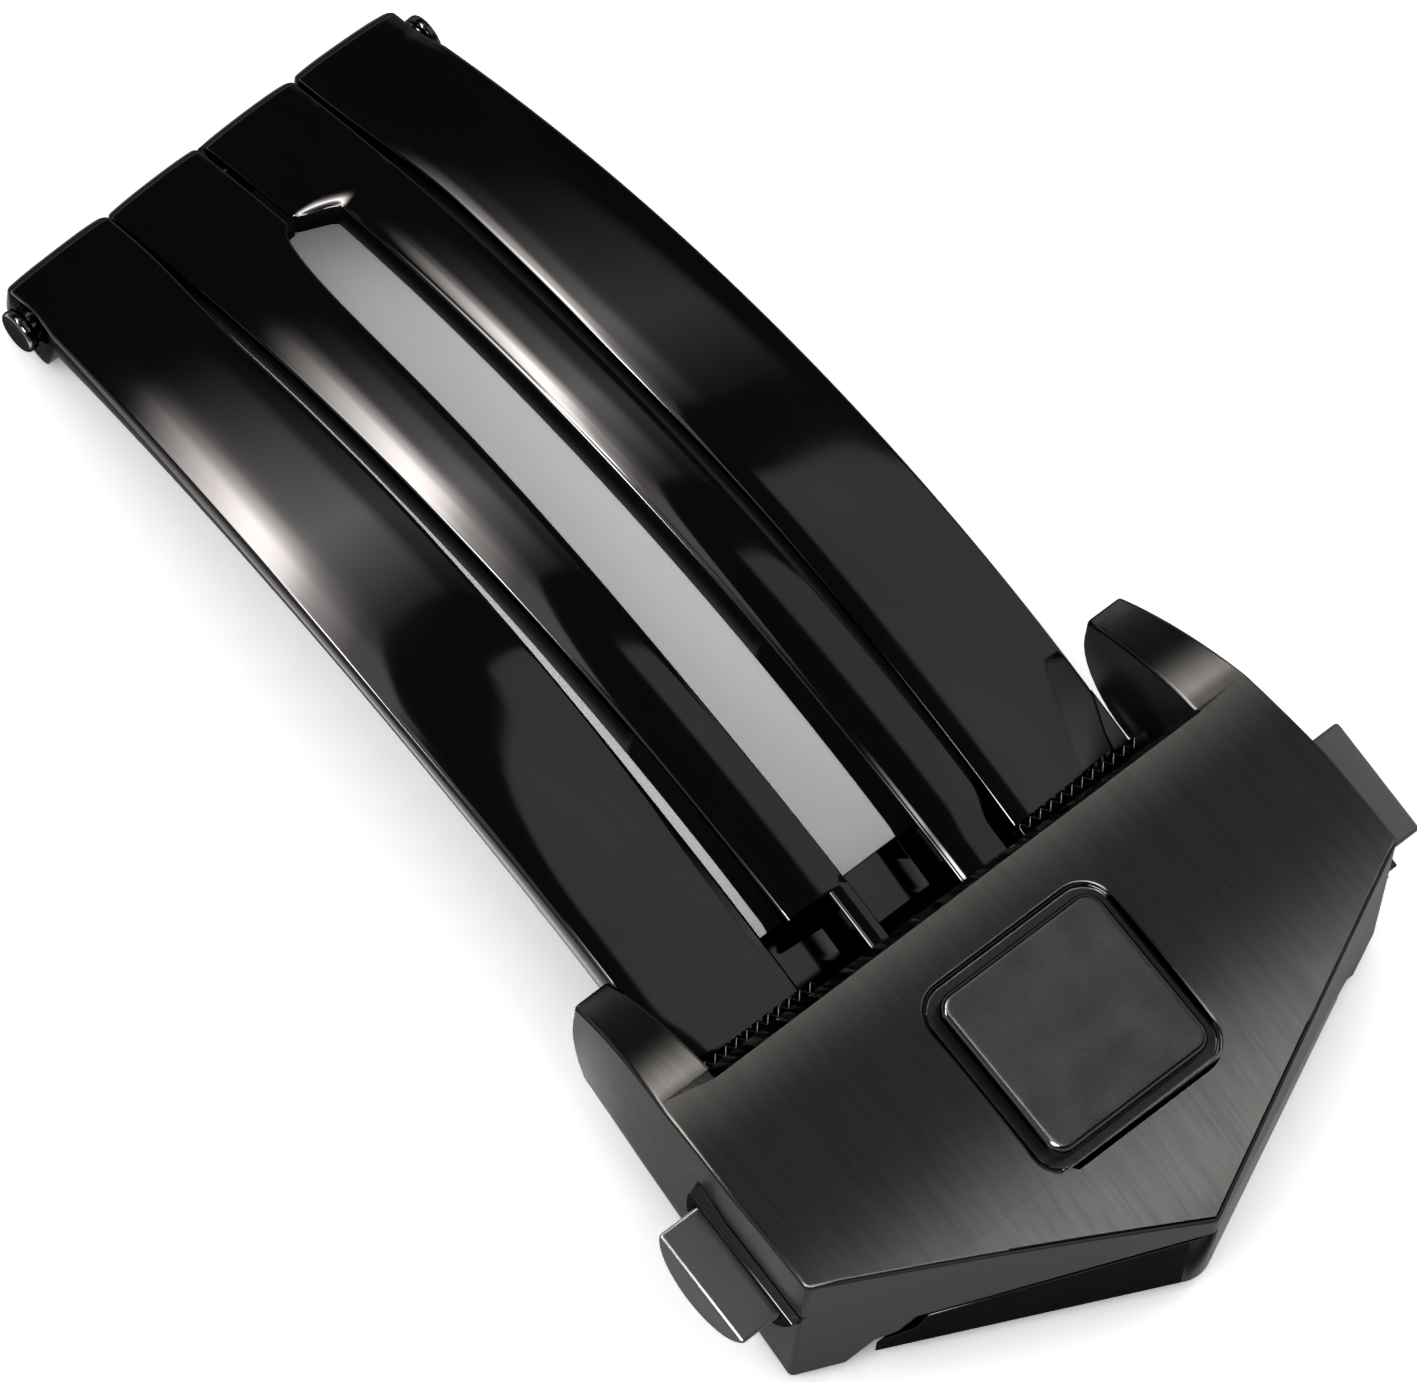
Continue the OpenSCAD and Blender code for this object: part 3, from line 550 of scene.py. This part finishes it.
wcoord = wt.nodes.new("ShaderNodeTexCoord")
parts = wt.nodes.new("ShaderNodeSeparateXYZ")
wt.links.new(wcoord.outputs["Generated"], parts.inputs["Vector"])
rise = wmath("MAXIMUM", parts.outputs["Z"], 0.05)
gx = wmath("DIVIDE", parts.outputs["X"], rise)
gy = wmath("DIVIDE", parts.outputs["Y"], rise)


def less(a, b):
    return wmath("SUBTRACT", a, b)


def times(*values):
    out = values[0]
    for value in values[1:]:
        out = wmath("MULTIPLY", out, value)
    return out


def plus(*values):
    out = values[0]
    for value in values[1:]:
        out = wmath("ADD", out, value)
    return out


climb = wmath("DIVIDE", wmath("ADD", gx, 1.15), 0.6, clamp=True)
climb = times(climb, climb)
slope_off = plus(times(wmath("DIVIDE", less(-0.38, gx), 0.16, clamp=True), 0.83), 0.17)
steep = wmath("MAXIMUM", less(0.12, gy), 0.0)
cut = less(1.0, smooth(less(gx, times(steep, 0.4)), -0.37, -0.35))
lean_in = plus(times(gy, -1.0), times(wmath("MAXIMUM", less(-0.62, gx), 0.0), 0.2))
pale = times(plus(0.28, times(smooth(lean_in, -0.4, -0.27), 0.72)), less(1.0, smooth(gy, 0.62, 0.8)))
glow = times(plus(times(smooth(lean_in, -0.16, -0.06), 3.0), times(smooth(lean_in, -0.07, 0.02), 4.0)),
             smooth(gy, -0.7, -0.5))
shade = times(climb, slope_off, cut, 2.65)
pale = times(pale, shade)
window = times(glow, shade, plus(0.38, times(smooth(times(gx, -1.0), 0.47, 0.66), 1.8)))
ceiling = times(smooth(gx, -0.225, -0.2), smooth(gy, 0.2, 0.235), less(1.0, smooth(gx, 0.65, 0.8)))
panel = times(smooth(gx, 0.05, 0.5), less(1.0, smooth(gx, 0.75, 0.9)), less(1.0, smooth(gy, -0.6, -0.45)),
              smooth(gy, -1.7, -1.4))
strip = times(smooth(gx, -0.72, -0.6), less(1.0, smooth(gx, -0.515, -0.45)), less(1.0, smooth(gy, -0.75, -0.6)),
              smooth(gy, -1.8, -1.5))
ground = less(1.0, smooth(parts.outputs["Z"], 0.12, 0.3))

path = wt.nodes.new("ShaderNodeLightPath")
seen = wmath("ADD", path.outputs["Is Glossy Ray"], path.outputs["Is Transmission Ray"], clamp=True)
mix = wt.nodes.new("ShaderNodeCombineColor")
for channel, gain in (("Red", 1.0), ("Green", 0.95), ("Blue", 0.89)):
    half_gain = 0.5 + 0.5 * gain
    total = plus(times(window, gain), times(pale, half_gain), times(ceiling, CEILING),
                 times(panel, PANEL * half_gain), times(strip, STRIP * gain), times(ground, GROUND), BASE)
    wt.links.new(total, mix.inputs[channel])


def white(strength):
    node = wt.nodes.new("ShaderNodeBackground")
    node.inputs["Color"].default_value = (1, 1, 1, 1)
    node.inputs["Strength"].default_value = strength
    return node


def either(choice, first, second):
    node = wt.nodes.new("ShaderNodeMixShader")
    wt.links.new(choice, node.inputs["Fac"])
    wt.links.new(first, node.inputs[1])
    wt.links.new(second, node.inputs[2])
    return node.outputs["Shader"]


sky = white(1.0)
wt.links.new(mix.outputs["Color"], sky.inputs["Color"])
lit = either(seen, white(FILL).outputs["Background"], sky.outputs["Background"])
wt.links.new(either(path.outputs["Is Camera Ray"], lit, white(1.0).outputs["Background"]), wout.inputs["Surface"])


# Suns, which gloss doesn't show

SUN, SUN_ANGLE = 0.55, 0.9

for name, direction in (("key", (0.2, -0.62, -0.74)), ("side", (0.2, 0.62, -0.74))):
    sun = bpy.data.lights.new(name, "SUN")
    sun.energy = SUN
    sun.angle = SUN_ANGLE
    lamp = bpy.data.objects.new(name, sun)
    bpy.context.scene.collection.objects.link(lamp)
    lamp.rotation_euler = Vector(direction).to_track_quat("-Z", "Y").to_euler()
    lamp.visible_glossy = False
bpy.context.scene.view_settings.view_transform = "Standard"
